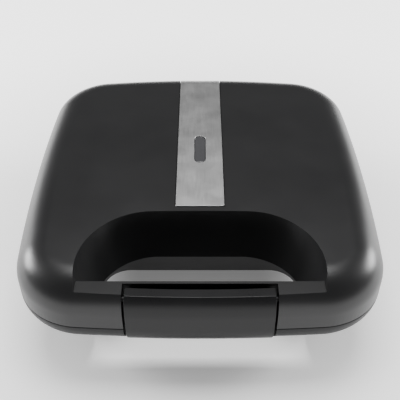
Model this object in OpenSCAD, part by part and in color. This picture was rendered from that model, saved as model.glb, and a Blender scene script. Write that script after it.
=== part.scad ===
// Panini press: a hinged two-shell contact grill with ribbed plates, a handle bar with a
// finger hole through both shells, and a front snap latch.
// Frame: the origin is on the table under the middle of the press, +Z up, the handle at -Y.
// Heights inside the modules are counted from the parting plane between the shells.

/* [Overall] */
// Width of the shells at the rim
body_w = 226; // [200:1:280]
// Depth of the shells at the rim, without latch and hinge
body_d = 235; // [210:1:290]
// Height of the lid shell above the parting plane
lid_h = 34; // [32:1:50]
// Depth of the base shell below the parting plane
base_h = 38; // [34:1:50]
// Height of the rubber feet under the base shell
foot_h = 8; // [5:0.5:15]

/* [Shells] */
// Radius of the plan corners
corner_r = 42; // [36:1:52]
// How far the middle of each side bows out past the corners
side_bow = 2.2; // [1:0.1:5]
// How far the middle of the front and the rear bows out past the corners
end_bow = 2.2; // [1:0.1:5]
// Wall thickness of both shells
wall = 2.5; // [2:0.1:3.5]
// Radius of the lid's upper edge
lid_edge_r = 22; // [18:1:26]
// How much the lid's top falls from the middle to its sides
crown_x = 3.8; // [1:0.1:5]
// How much it falls from the middle to the front and the rear
crown_y = 2.4; // [1:0.1:4]
// Radius of the base's side just under the rim
base_edge_r = 18; // [12:1:24]
// Steepness of the base's lower side, from the horizontal
base_slope = 52; // [46:1:60]
// Open seam between the two rims
seam = 0.5; // [0.4:0.1:1.5]

/* [Handle] */
// Thickness of the handle bar, front to back
bar_t = 16; // [14:0.5:20]
// Height of the bar's flat top above the parting plane
ledge_z = 24; // [20:0.5:28]
// Half width of the finger hole at the lid's top
grip_top_x = 72; // [64:1:76]
// Half width of the finger hole at the parting plane
grip_mid_x = 62; // [55:1:66]
// Half width of the finger hole under the base
grip_low_x = 66; // [55:1:68]
// Distance from the front to the hole's rear edge at the lid's top
grip_top_y = 65; // [60:1:70]
// The same distance at the parting plane
grip_mid_y = 58; // [50:1:62]
// The same distance under the base
grip_low_y = 83; // [75:1:86]
// Corner radius of the hole at the lid's top
grip_top_r = 43; // [30:1:48]
// Corner radius of the hole at the bottom of the lid
grip_mid_r = 37; // [25:1:40]
// Corner radius of the hole in the base
grip_low_r = 18; // [12:1:26]

/* [Latch] */
// Width of the latch
latch_w = 85; // [60:1:95]
// Gap between the latch and the sides of its pocket
latch_gap = 1.4; // [1:0.1:2.5]
// Thickness of the latch's curved front
latch_t = 4.6; // [3.5:0.1:5.5]
// How far the latch stands out of the shells
latch_proud = 0.8; // [0:0.1:1.5]
// How far the latch reaches below the parting plane
latch_drop = 12; // [9:0.5:13]
// Radius of the latch pin
latch_pin_r = 1.5; // [1.2:0.1:2]

/* [Hinge] */
// Radius of the hinge knuckles
knuckle_r = 5.5; // [5:0.1:7]
// Radius of the hinge pins
hinge_pin_r = 2.5; // [2:0.1:3]
// Distance of each hinge from the middle
hinge_x = 60; // [54:1:72]
// Width of the lid's knuckle at each hinge
knuckle_w = 14; // [10:1:18]
// Width of each ear of the base beside it
ear_w = 7; // [5:0.5:9]

/* [Plates] */
// Side edges of the grill plates, inside the sides of the shells
plate_side = 21; // [18:1:33]
// Front edge of the grill plates, behind the front of the shells
plate_front = 72; // [72:1:80]
// Rear edge of the grill plates, in front of the rear of the shells
plate_rear = 26; // [22:1:36]
// Depth of each plate's hollow
dish_depth = 6.4; // [5:0.2:7]
// Height of the ribs on the plates
rib_h = 3; // [1.5:0.1:3.2]
// Width of one rib
rib_w = 4; // [3:0.5:6]
// Spacing of the ribs
rib_pitch = 11; // [9:0.5:16]
// Diameter of the tubular heating elements
element_d = 7; // [6:0.1:8]

/* [Trim] */
// Width of the metal trim strip
strip_w = 30; // [24:1:40]
// Thickness of the trim strip
strip_t = 1.2; // [0.8:0.1:1.4]
// Width of the dark shadow gap round the strip
strip_gap = 0.7; // [0.4:0.1:1]
// Length of the indicator lens
lens_l = 30; // [24:1:36]
// Width of the indicator lens
lens_w = 7.5; // [6:0.5:9]

/* [Cord inlet] */
// Radius of the bore that a mains cord passes through
cord_bore_r = 3.6; // [3:0.1:4.5]

/* [Hidden] */
$fn = 64;

// Places that several parts share, counted from the middle of the shells.
half_w = body_w / 2;
half_d = body_d / 2;
fit = 0.3;                                   // clearance between parts that only sit together
run = 0.05;                                  // radial clearance of a running fit
over = 1;                                    // how far a cutter reaches past what it cuts
hinge_y = half_d + knuckle_r + 1.3;          // the hinge axis, on the parting plane
part_z = foot_h + base_h;                    // the parting plane's height over the table
mid_y = (half_d + latch_proud - hinge_y - knuckle_r) / 2;   // the shells' middle in the frame
bar_y = -half_d + bar_t;                     // rear face of the handle bar

// The plan outline: four corner arcs that run smoothly into wide side and end arcs.
corner_x = half_w - corner_r - side_bow;
corner_y = half_d - corner_r - end_bow;
reach2 = corner_x * corner_x + corner_y * corner_y;
side_c = (reach2 - pow(half_w - corner_r, 2)) / (2 * side_bow);   // side arc's centre is at x = -side_c
end_c = (reach2 - pow(half_d - corner_r, 2)) / (2 * end_bow);     // end arc's centre is at y = -end_c
side_turn = atan2(corner_y, corner_x + side_c);
end_turn = atan2(corner_y + end_c, corner_x);
z_arc = 10;                                  // the lid's edge curve starts here
edge_step = 11.25;                           // degrees from ring to ring on that curve
deep_inset = min(corner_x, corner_y) + corner_r - 30;   // the lid's innermost ring

// Latch
latch_x = latch_w / 2;
pocket_x = latch_x + latch_gap;
bar_wall = 1.8;                              // what is left of the bar behind the latch
pocket_y = bar_y - bar_wall;                 // rear of the lid's latch pocket
base_pocket_y = bar_y - 5;                   // rear of the base's latch pocket
latch_pin_y = -half_d + 8;
latch_pin_z = ledge_z - 6;                   // high enough for the latch's top to clear the pocket
barrel_r = latch_pin_r + 1.7;
catch_z = -5;                                // top of the base's catch ridge
catch_h = 3;

// Plates and what is behind them
rim_gap = 0.6;                               // from the parting plane to each plate's rim
plate_floor = 3;                             // thickness of a plate under its hollow
plate_x = half_w - plate_side;
plate_y0 = -half_d + plate_front;
plate_y1 = half_d - plate_rear;
plate_r = 14;                                // plan corner radius of a plate
plate_back = rim_gap + dish_depth + plate_floor;
flange_w = 6;
flange_z = 4.3;                              // the flange starts behind the frame panel
flange_t = 2.5;
panel_z = 1.5;                               // the frame panel's face, back from the parting plane
panel_t = 2.5;
element_z = plate_back + 0.1 + element_d / 2;
element_x = plate_x - 30;                    // half the spread of the heating element
element_bend = 22;
element_y0 = plate_y0 + 26;
element_y1 = plate_y1 - 14;
clamp_z = element_z + element_d / 2;
reflector_z = clamp_z + 2.5;
reflector_t = 0.6;
reflector_h = 7;
reflector_x = plate_x - 14;
thermostat_y = 30;

// Screws: pan heads of one size
head_r = 3;
head_h = 1.1;
shank_r = 1.5;
hole_r = shank_r + 0.15;
boss_r = 3.9;
frame_screws = [[half_w - 9.5, plate_y1 - 36], [half_w - 9.5, plate_y0 + 22], [corner_x + 11, -corner_y - 15]];
plate_screw_x = plate_x + flange_w / 2;
plate_screws = [[plate_screw_x, plate_y0 + 36], [plate_screw_x, plate_y1 - 54]];

foot_r = 7;
foot_x = corner_x + 8.7;
foot_y = corner_y - 1.5;
strip_y0 = -half_d + grip_top_y + 4.6;       // front end of the trim strip
strip_z0 = 12;                               // where it ends on the lid's rear face
lens_y = strip_y0 + 58;
lens_reach = abs(lens_y) + lens_l / 2 + 2;   // how far from the middle the lens's flange reaches
lens_flange_t = 1.3;
// Underside of the flange, which lies just under the lid's inner surface.
lens_drop = crown_y * (half_d - deep_inset) * lens_reach / pow(half_d, 2);
lens_seat = lid_h - wall - lens_drop - 0.03 - lens_flange_t;
gland_x = -30;
gland_z = -16;
gland_r = 6;
gland_y0 = half_d - 17;
gland_y1 = half_d + 0.5;
block_x = gland_x + 14;
block_y = plate_y1 - 25.5;

// Puts what is drawn round the shells' middle and the parting plane into the frame.
module placed() {
    translate([0, mid_y, part_z]) children();
}

// Turns the lid's side of a part that both halves have over, for the base.
module flipped() {
    mirror([0, 0, 1]) children();
}

module both_sides() {
    for (side = [0, 1]) mirror([side, 0, 0]) children();
}

// One quarter of the plan outline at an inset, from the right side to the rear.
function side_at(inset, y) = sqrt(pow(half_w + side_c - inset, 2) - y * y) - side_c;
function end_at(inset, x) = sqrt(pow(half_d + end_c - inset, 2) - x * x) - end_c;
function quarter(inset) =
    let (r = max(corner_r - inset, 8), deep = max(0, inset - corner_r + 8),
         cx = corner_x - deep, cy = corner_y - deep, n = 4)
    concat(
        [for (i = [0 : n - 1]) [side_at(inset, cy * i / n), cy * i / n]],
        [for (i = [0 : 7]) let (a = side_turn + (end_turn - side_turn) * i / 7)
            [cx + r * cos(a), cy + r * sin(a)]],
        [for (i = [n - 1 : -1 : 0]) [cx * i / n, end_at(inset, cx * i / n)]]);
function outline(inset) = let (q = quarter(inset), n = len(q) - 1) concat(
    [for (i = [0 : n - 1]) q[i]], [for (i = [n : -1 : 1]) [-q[i].x, q[i].y]],
    [for (i = [0 : n - 1]) -q[i]], [for (i = [n : -1 : 1]) [q[i].x, -q[i].y]]);

// Height of the lid's domed top over a point of the plan.
function top_z(p) = lid_h - crown_x * pow(p.x / half_w, 2) - crown_y * pow(p.y / half_d, 2);

function at_height(line, z) = [for (p = line) [p.x, p.y, z]];

// Rings of points up the lid's surface, inset all round from the outer surface: the mouth,
// the rim's straight wall, the edge curve and the domed top.
function lid_rings(inset = 0, mouth = 0) =
    let (brow = outline(lid_edge_r), n = len(brow) - 1)
    concat(
        [at_height(outline(inset), seam / 2 - mouth)],
        [for (t = [0 : edge_step : 90]) let (line = outline(lid_edge_r - (lid_edge_r - inset) * cos(t)))
            [for (i = [0 : n]) [line[i].x, line[i].y, z_arc + (top_z(brow[i]) - inset - z_arc) * sin(t)]]],
        [for (k = [1 : 3]) let (line = outline(lid_edge_r + (deep_inset - lid_edge_r) * k / 3))
            [for (p = line) [p.x, p.y, top_z(p) - inset]]]);

// Rings up the base's surface: a straight slope, then a curve up to the rim.
base_turn = 90 - base_slope;
function base_rings(inset = 0, mouth = 0) =
    let (r = base_edge_r - inset, z0 = -seam / 2 - r * sin(base_turn), x0 = base_edge_r - r * cos(base_turn),
         bottom = -base_h + inset)
    concat(
        [at_height(outline(x0 + (z0 - bottom) / tan(base_slope)), bottom)],
        [for (k = [5 : -1 : 0]) let (t = base_turn * k / 5)
            at_height(outline(base_edge_r - r * cos(t)), -seam / 2 - r * sin(t))],
        mouth > 0 ? [at_height(outline(inset), -seam / 2 + mouth)] : []);

// A solid with a surface through rings of equally many points, bottom ring first. The last
// ring closes on a point at the height top.
module ringed_solid(rings, top) {
    n = len(rings[0]);
    last = (len(rings) - 1) * n;
    sides = [for (i = [0 : len(rings) - 2], k = [0 : n - 1]) let (a = i * n + k, b = i * n + (k + 1) % n)
        each [[a, a + n, b + n], [a, b + n, b]]];
    fan = [for (k = [0 : n - 1]) [last + k, last + n, last + (k + 1) % n]];
    polyhedron(points = concat([for (ring = rings) each ring], [[0, 0, top]]),
               faces = concat([[for (k = [0 : n - 1]) k]], sides, fan));
}

module lid_solid(inset = 0, mouth = 0) {
    ringed_solid(lid_rings(inset, mouth), lid_h - inset);
}

module base_solid(inset = 0, mouth = 0) {
    ringed_solid(base_rings(inset, mouth), -seam / 2 + mouth);
}

module flat_panel(inset, z0, z1) {
    translate([0, 0, z0]) linear_extrude(z1 - z0) polygon(outline(inset));
}

// The lid's section through the middle, seen from its right side.
module lid_section(inset) {
    brow_z = top_z([0, half_d - lid_edge_r]) - inset;
    rear = concat(
        [[half_d - inset, -over]],
        [for (t = [0 : edge_step : 89])
            [half_d - lid_edge_r + (lid_edge_r - inset) * cos(t), z_arc + (brow_z - z_arc) * sin(t)]],
        [for (k = [0 : 6]) let (y = (half_d - lid_edge_r) * (1 - k / 6)) [y, top_z([0, y]) - inset]]);
    n = len(rear) - 1;
    polygon(concat(rear, [for (i = [n - 1 : -1 : 0]) [-rear[i].x, rear[i].y]]));
}

// The outline at one height of the finger hole, as what its hull needs.
module grip_slice(half_x, back, r, grow, z) {
    translate([0, 0, z]) linear_extrude(0.01) {
        both_sides() intersection() {
            translate([half_x - r, -half_d + back - r]) circle(r + grow, $fn = 40);
            translate([0, bar_y - grow]) square(body_w);
        }
        translate([-half_x - grow, bar_y - grow]) square([2 * (half_x + grow), 1]);
    }
}

// The hole through the lid: steep at the top, flaring inwards lower down, with the cut
// over the bar that makes its flat top.
module lid_grip(grow = 0) {
    step_x = grip_top_x - grip_mid_x;
    step_y = grip_top_y - grip_mid_y;
    step_r = grip_top_r - grip_mid_r;
    hull() {
        grip_slice(grip_top_x, grip_top_y, grip_top_r, grow, lid_h);
        for (k = [[0.2, 0.65], [0.5, 0.3], [1, -over / lid_h]])
            grip_slice(grip_top_x - step_x * k.x, grip_top_y - step_y * k.x, grip_top_r - step_r * k.x,
                       grow, lid_h * k.y);
    }
    lean = 0.2 * (lid_h - ledge_z) / (0.35 * lid_h);
    hull() {
        ledge_slice(grip_top_x, grow, lid_h);
        ledge_slice(grip_top_x - step_x * lean, grow, ledge_z);
    }
}

// The cut over the bar at one height.
module ledge_slice(half_x, grow, z) {
    r = 7;
    x = half_x + grow;
    y0 = -half_d + 1 - grow;
    translate([0, 0, z - grow]) linear_extrude(0.01) {
        translate([-x, y0 + r]) square([2 * x, bar_t - r + grow + 2]);
        both_sides() translate([x - r, y0 + r]) circle(r, $fn = 32);
    }
}

module base_grip(grow = 0) {
    hull() {
        grip_slice(grip_mid_x, grip_mid_y, grip_low_r, grow, over);
        grip_slice(grip_low_x, grip_low_y, grip_low_r, grow, -base_h - over);
    }
}

module plate_outline(grow = 0) {
    x = plate_x + grow;
    r = plate_r + grow;
    translate([-x, plate_y0 - grow + r]) square([2 * x, plate_y1 - plate_y0 + 2 * grow - 2 * r]);
    translate([-x + r, plate_y0 - grow]) square([2 * (x - r), plate_y1 - plate_y0 + 2 * grow]);
    for (x1 = [-x + r, x - r], y1 = [plate_y0 - grow + r, plate_y1 + grow - r])
        translate([x1, y1]) circle(r);
}

// One barrel of the hinge with the web that ties it to the rear wall above the parting plane.
module knuckle(x0, width, bore) {
    translate([x0, hinge_y, 0]) rotate([90, 0, 90]) linear_extrude(width) difference() {
        union() {
            circle(knuckle_r);
            translate([half_d - wall - hinge_y, seam / 2])
                square([hinge_y - half_d + wall, knuckle_r - seam / 2]);
        }
        circle(bore);
    }
}

module boss(at, z0, z1) {
    translate([at.x, at.y, z0]) cylinder(r = boss_r, h = z1 - z0);
}

module drill(at, r, z0, z1) {
    translate([at.x, at.y, z0]) cylinder(r = r, h = z1 - z0);
}

// Pan head screws that stand on z and point up.
module screws(places, z, length) {
    both_sides() for (at = places) translate([at.x, at.y, z]) {
        translate([0, 0, -head_h]) cylinder(r = head_r, h = head_h);
        cylinder(r = shank_r, h = length);
    }
}

module in_pocket(z0, z1, x, y0, y1) {
    translate([-x, y0, z0]) cube([2 * x, y1 - y0, z1 - z0]);
}

// ---------------------------------------------------------------- lid

module lid_shell() {
    color([0.06, 0.06, 0.065]) placed() {
        difference() {
            union() {
                difference() {
                    lid_solid();
                    difference() {
                        lid_solid(wall, over);
                        lid_grip(wall);
                        in_pocket(-over, ledge_z, pocket_x + wall, -half_d - over, bar_y);
                        both_sides() for (at = frame_screws)
                            boss(at, panel_z + panel_t, lid_h);
                    }
                }
                both_sides() knuckle(hinge_x - knuckle_w / 2, knuckle_w, hinge_pin_r + run);
                knuckle(1, 13, wire_bore_r);
            }
            lid_grip();
            in_pocket(-over, lid_h, pocket_x, -half_d - over, pocket_y);
            latch_pin_bore();
            trim_channel();
            lens_hole(0.15);
            both_sides() for (at = frame_screws) drill(at, hole_r, -over, 12);
            translate([duct_x, hinge_y, 3]) rotate([90, 0, 0]) cylinder(r = 2, h = 14);
        }
    }
}

module latch_pin_bore() {
    translate([-pocket_x - wall - over, latch_pin_y, latch_pin_z]) rotate([0, 90, 0])
        cylinder(r = latch_pin_r + run, h = 2 * (pocket_x + wall + over));
}

// A sheet that follows the lid's top and rear, for the strip and its channel.
module top_sheet(inset0, inset1, half_x, y0, z0) {
    translate([-half_x, 0, 0]) rotate([90, 0, 90]) linear_extrude(2 * half_x) intersection() {
        difference() {
            lid_section(inset0);
            lid_section(inset1);
        }
        translate([y0, z0]) square([2 * half_d, 2 * lid_h]);
    }
}

module trim_channel() {
    top_sheet(-over, strip_t + 0.1, strip_w / 2 + strip_gap, strip_y0 - strip_gap, strip_z0 - strip_gap);
}

module lens_hole(grow) {
    translate([0, lens_y, 0]) linear_extrude(2 * lid_h) {
        square([lens_w + 2 * grow, lens_l - lens_w], center = true);
        for (end = [-1, 1]) translate([0, end * (lens_l - lens_w) / 2]) circle(lens_w / 2 + grow);
    }
}

module trim_strip() {
    color([0.62, 0.62, 0.62]) placed() difference() {
        top_sheet(0, strip_t, strip_w / 2, strip_y0, strip_z0);
        lens_hole(0.15);
    }
}

module indicator_lens() {
    color([0.25, 0.25, 0.26]) placed() {
        intersection() {
            lens_hole(0);
            translate([-lens_w, lens_y - lens_l, lens_seat])
                cube([2 * lens_w, 2 * lens_l, lid_h - 0.2 - lens_seat]);
        }
        translate([-lens_w / 2 - 2, lens_y - lens_l / 2 - 2, lens_seat])
            cube([lens_w + 4, lens_l + 4, lens_flange_t]);
    }
}

lamp_r = 2.6;
lamp_z = lens_seat - 0.2 - lamp_r;
lamp_y = lens_l / 4;                         // each lamp's place from the lens's middle
lamp_pin_l = 1.5;
lamp_l = 2 * lamp_y - 2 * lamp_pin_l - 0.2;

module lamp(y, tint) {
    color(tint) placed() translate([0, y, lamp_z]) rotate([90, 0, 0]) {
        cylinder(r = lamp_r, h = lamp_l, center = true);
        for (x = [-1, 1]) translate([x, 0, lamp_l / 2]) cylinder(r = 0.4, h = lamp_pin_l);
    }
}

module lamp_holder() {
    color([0.85, 0.85, 0.8]) placed() translate([0, lens_y, lamp_z - lamp_r - 1.5]) difference() {
        translate([-6, -lens_l / 2 - 1, 0]) cube([12, lens_l + 2, 5.4]);
        translate([-lamp_r - 0.15, -lens_l / 2 - 0.1, 1.3]) cube([2 * lamp_r + 0.3, lens_l + 0.2, 5]);
    }
}

module lid_frame() {
    color([0.1, 0.1, 0.1]) placed() frame_panel(wall + fit) {
        lid_grip(wall + fit);
        wire_notch(duct_x);
    }
}

// The inner cover of a shell, with the plate's opening. Its child is cut away.
module frame_panel(inset) {
    z1 = panel_z + panel_t;
    difference() {
        union() {
            flat_panel(inset, panel_z, z1);
            both_sides() for (at = plate_screws)
                translate([at.x, at.y, panel_z]) cylinder(r = 3.2, h = panel_t);
        }
        translate([0, 0, -over]) linear_extrude(z1 + 2 * over) plate_outline(fit);
        in_pocket(-over, z1 + over, pocket_x + wall + fit, -half_d - over, bar_y + wall);
        both_sides() for (at = frame_screws) drill(at, hole_r, 0, z1 + over);
        both_sides() for (at = plate_screws) drill(at, hole_r, panel_z + 0.8, z1 + over);
        children();
    }
}

// Room in a frame panel for the wires at the hinge.
module wire_notch(x) {
    translate([x - 4, half_d - 16, 0]) cube([8, 20, 10]);
}

// A grill plate as it is in the lid: the hollow opens down.
module grill_plate() {
    floor_z = rim_gap + dish_depth;
    difference() {
        union() {
            translate([0, 0, rim_gap]) linear_extrude(plate_back - rim_gap) plate_outline();
            translate([0, 0, flange_z]) linear_extrude(flange_t) plate_outline(flange_w);
        }
        translate([0, 0, -over]) linear_extrude(floor_z + over) plate_outline(-5);
        both_sides() for (at = plate_screws) drill(at, hole_r, 0, plate_back);
    }
    ribs(floor_z);
}

module ribs(floor_z) {
    count = floor((plate_x - 5 - rib_w) / rib_pitch);
    y0 = plate_y0 + 12;
    y1 = plate_y1 - 12;
    for (k = [-count : count]) translate([k * rib_pitch, 0, floor_z - rib_h]) {
        translate([-rib_w / 2, y0, 0]) cube([rib_w, y1 - y0, rib_h + 0.5]);
        for (y = [y0, y1]) translate([0, y, 0]) cylinder(r = rib_w / 2, h = rib_h + 0.5);
    }
}

module upper_grill_plate() {
    color([0.12, 0.12, 0.125]) placed() grill_plate();
}

// A tube bent into a U, with its two cold ends turned up at the rear.
module heating_element() {
    r = element_d / 2;
    both_sides() {
        translate([element_x, element_y0 + element_bend, element_z]) rotate([-90, 0, 0])
            cylinder(r = r, h = element_y1 - element_y0 - element_bend);
        translate([element_x - element_bend, element_y0 + element_bend, element_z]) rotate(-90)
            rotate_extrude(angle = 90) translate([element_bend, 0]) circle(r);
        translate([element_x, element_y1, element_z]) rotate([-90, 0, 0]) cylinder(r = 1.6, h = 7);
    }
    translate([-element_x + element_bend, element_y0, element_z]) rotate([0, 90, 0])
        cylinder(r = r, h = 2 * (element_x - element_bend));
}

module upper_heating_element() {
    color([0.45, 0.44, 0.42]) placed() heating_element();
}

// Straps that hold the element's legs against the plate.
module element_clamps() {
    y = (element_y0 + element_y1) / 2 + 12;
    both_sides() translate([element_x, y, 0]) {
        translate([-12, -6, clamp_z]) cube([24, 12, 1]);
        for (side = [-1, 1]) translate([side * 8.5 - 1.5, -6, plate_back])
            cube([3, 12, clamp_z - plate_back]);
    }
}

module upper_element_clamps() {
    color([0.6, 0.6, 0.6]) placed() element_clamps();
}

// Thin steel tray that keeps the heat at the plate.
module heat_reflector(thermostat_x) {
    x = reflector_x;
    y0 = element_y0 - 12;
    y1 = plate_y1 - 3;
    difference() {
        translate([-x, y0, reflector_z + reflector_t - reflector_h]) cube([2 * x, y1 - y0, reflector_h]);
        translate([-x + reflector_t, y0 + reflector_t, reflector_z - reflector_h])
            cube([2 * (x - reflector_t), y1 - y0 - 2 * reflector_t, reflector_h]);
        translate([-element_x - 5, y1 - 2, 0]) cube([2 * element_x + 10, 4, reflector_z - 0.5]);
        translate([thermostat_x, thermostat_y, 0]) cylinder(r = 9, h = 2 * reflector_z);
    }
}

module upper_heat_reflector() {
    color([0.72, 0.72, 0.7]) placed() heat_reflector(-20);
}

// Bimetal switch: a round ceramic body on a flange against the plate.
module thermostat(x, y) {
    translate([x, y, plate_back]) {
        cylinder(r = 9, h = 1);
        cylinder(r = 7.5, h = 9);
        for (side = [-1, 1]) translate([side * 4.5 - 1.6, -0.4, 9]) cube([3.2, 0.8, 1.2]);
    }
}

module lid_thermostat() {
    color([0.9, 0.88, 0.82]) placed() thermostat(-20, thermostat_y);
}

module thermal_fuse() {
    color([0.75, 0.7, 0.55]) placed() translate([20, 30, plate_back + 2.6]) rotate([0, 90, 0]) {
        cylinder(r = 2.2, h = 11, center = true);
        cylinder(r = 0.5, h = 26, center = true);
    }
}

module lid_frame_screws() {
    color([0.7, 0.7, 0.7]) placed() screws(frame_screws, panel_z, 9);
}

module upper_plate_screws() {
    color([0.7, 0.7, 0.7]) placed()
        translate([0, 0, flange_z + flange_t]) mirror([0, 0, 1]) screws(plate_screws, 0, 4.2);
}

// A wire as a tube that follows points. Each ring lies across the path at its point.
function unit(v) = v / norm(v);
function heading(path, i) =
    unit(path[min(i + 1, len(path) - 1)] - path[max(i - 1, 0)]);
function ring(centre, dir, r, sides) =
    let (side = unit(cross(dir, abs(dir.z) < 0.9 ? [0, 0, 1] : [1, 0, 0])), up = cross(side, dir))
    [for (k = [0 : sides - 1]) centre + r * (cos(360 * k / sides) * side + sin(360 * k / sides) * up)];
function rounded(path) = [
    path[0],
    for (i = [1 : len(path) - 2]) each [
        path[i] + 0.3 * (path[i - 1] - path[i]),
        path[i] + 0.06 * (path[i - 1] - path[i]) + 0.06 * (path[i + 1] - path[i]),
        path[i] + 0.3 * (path[i + 1] - path[i])],
    path[len(path) - 1]];

module wire(corners, d = 2.2, sides = 8) {
    path = rounded(corners);
    n = len(path);
    points = [for (i = [0 : n - 1]) each ring(path[i], heading(path, i), d / 2, sides)];
    walls = [for (i = [0 : n - 2], k = [0 : sides - 1])
        [i * sides + k, i * sides + (k + 1) % sides, (i + 1) * sides + (k + 1) % sides, (i + 1) * sides + k]];
    first = [for (k = [sides - 1 : -1 : 0]) k];
    last = [for (k = [0 : sides - 1]) (n - 1) * sides + k];
    polyhedron(points = points, faces = concat([first], walls, [last]));
}

wire_bore_r = 3.2;
duct_x = 7.5;                                // where the wires pass from the hinge into each shell
duct_y = half_d - wall - 3;
lead_y = element_y1 + 7.1;
wire_z = reflector_z + 3.5;

// A wire's end on one cold end of the element: down behind the plate, then onto it.
function element_drop(x) = [
    [x, plate_y1 + 1, wire_z],
    [x, plate_y1 + 1, element_z],
    [x, lead_y, element_z]];

module lid_wiring() {
    split = [duct_x, duct_y - 9, 13];
    color([0.75, 0.1, 0.08]) placed() {
        wire(concat([[duct_x, hinge_y - 5, 3], [duct_x, duct_y - 4, 5], split, [20, duct_y - 14, wire_z]],
                    element_drop(element_x)));
        wire(concat([split, [-20, duct_y - 14, wire_z]], element_drop(-element_x)));
        wire([split, [4, duct_y - 18, wire_z + 1], [2, lens_y + 40, wire_z + 1],
              [2, lens_y + 18, wire_z + 1]]);
    }
}

module latch_pin() {
    color([0.75, 0.75, 0.75]) placed() translate([-pocket_x - wall + 0.2, latch_pin_y, latch_pin_z])
        rotate([0, 90, 0]) cylinder(r = latch_pin_r, h = 2 * (pocket_x + wall - 0.2));
}

// ---------------------------------------------------------------- latch

// Both shells as one solid, for the sheet that follows their front.
module whole_solid(inset) {
    rings = lid_rings(inset);
    ringed_solid(concat(base_rings(inset), [for (i = [1 : len(rings) - 1]) rings[i]]), lid_h - inset);
}

module latch_front() {
    r = 3;
    rotate([90, 0, 0]) linear_extrude(body_d) {
        translate([-latch_x, r - latch_drop]) square([latch_w, latch_drop + ledge_z - r]);
        translate([r - latch_x, -latch_drop]) square([latch_w - 2 * r, 2 * r]);
        both_sides() translate([latch_x - r, r - latch_drop]) circle(r);
    }
}

module latch() {
    hook_y = base_pocket_y - 0.9;
    color([0.07, 0.07, 0.075]) placed() difference() {
        union() {
            intersection() {
                difference() {
                    whole_solid(-latch_proud);
                    whole_solid(latch_t - latch_proud);
                }
                latch_front();
            }
            translate([-latch_x + 6, latch_pin_y, latch_pin_z]) rotate([0, 90, 0])
                cylinder(r = barrel_r, h = latch_w - 12);
            for (x = [-latch_x + 6, -3, latch_x - 12])
                translate([x, -half_d + latch_t - latch_proud - 0.6, latch_pin_z - 2.5]) cube([6, 4, 5]);
            translate([-latch_x + 12, -half_d + 4.5, catch_z - catch_h - 2.9])
                cube([latch_w - 24, hook_y + half_d - 4.5, 2.5]);
        }
        translate([-half_w, latch_pin_y, latch_pin_z]) rotate([0, 90, 0])
            cylinder(r = latch_pin_r + run, h = body_w);
    }
}

// ---------------------------------------------------------------- base

module base_shell() {
    color([0.06, 0.06, 0.065]) placed() {
        difference() {
            union() {
                difference() {
                    base_solid();
                    difference() {
                        base_solid(wall, over);
                        base_grip(wall);
                        in_pocket(-base_h, over, pocket_x + wall, -half_d - over, bar_y);
                        both_sides() for (at = frame_screws)
                            boss(at, -base_h, -panel_z - panel_t);
                    }
                }
                flipped() both_sides() {
                    knuckle(hinge_x - knuckle_w / 2 - 0.4 - ear_w, ear_w, hinge_pin_r + run);
                    knuckle(hinge_x + knuckle_w / 2 + 0.4, ear_w, hinge_pin_r + run);
                }
                flipped() knuckle(-14, 13, wire_bore_r);
                gland_tube(gland_r + 2, gland_y0 + 2, half_d - 1);
            }
            base_grip();
            in_pocket(-base_h, over, pocket_x, -half_d - over, base_pocket_y);
            gland_tube(gland_r, gland_y0 - over, half_d + 5);
            both_sides() for (at = frame_screws) drill(at, hole_r, -14, over);
            both_sides() for (y = [-foot_y, foot_y])
                drill([foot_x, y], 3, -base_h - over, -base_h + wall + over);
            vent_slots();
            translate([-duct_x, hinge_y, -3]) rotate([90, 0, 0]) cylinder(r = 2, h = 14);
        }
        latch_catch();
    }
}

module gland_tube(r, y0, y1) {
    translate([gland_x, y1, gland_z]) rotate([90, 0, 0]) cylinder(r = r, h = y1 - y0);
}

// Ridge that the latch's hook snaps under.
module latch_catch() {
    translate([-latch_x + 10, base_pocket_y - 2.5, catch_z - catch_h]) cube([latch_w - 20, 3, catch_h]);
}

module vent_slots() {
    for (k = [-3 : 3]) translate([k * 12 - 1.5, 20, -base_h - over]) cube([3, 44, wall + 2 * over]);
}

module base_frame() {
    color([0.1, 0.1, 0.1]) placed() flipped() frame_panel(wall + fit + 0.8) {
        flipped() base_grip(wall + fit);
        wire_notch(-duct_x);
    }
}

module lower_grill_plate() {
    color([0.12, 0.12, 0.125]) placed() flipped() grill_plate();
}

module lower_heating_element() {
    color([0.45, 0.44, 0.42]) placed() flipped() heating_element();
}

module lower_element_clamps() {
    color([0.6, 0.6, 0.6]) placed() flipped() element_clamps();
}

module lower_heat_reflector() {
    color([0.72, 0.72, 0.7]) placed() flipped() heat_reflector(20);
}

module base_thermostat() {
    color([0.9, 0.88, 0.82]) placed() flipped() thermostat(20, thermostat_y);
}

module base_frame_screws() {
    color([0.7, 0.7, 0.7]) placed() flipped() screws(frame_screws, panel_z, 9);
}

module lower_plate_screws() {
    color([0.7, 0.7, 0.7]) placed() flipped()
        translate([0, 0, flange_z + flange_t]) mirror([0, 0, 1]) screws(plate_screws, 0, 4.2);
}

// Two-way terminal block on the base's floor, near the cord inlet.
module terminal_block() {
    x0 = block_x;
    y0 = block_y;
    z0 = -base_h + wall;
    color([0.92, 0.92, 0.9]) placed() difference() {
        translate([x0, y0, z0]) cube([24, 14, 9]);
        for (k = [0, 1]) {
            translate([x0 + 6 + 12 * k, y0 - over, z0 + 4]) rotate([-90, 0, 0]) cylinder(r = 1.6, h = 16);
            translate([x0 + 6 + 12 * k, y0 + 7, z0 + 6]) cylinder(r = 1.8, h = 4);
        }
    }
}

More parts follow.
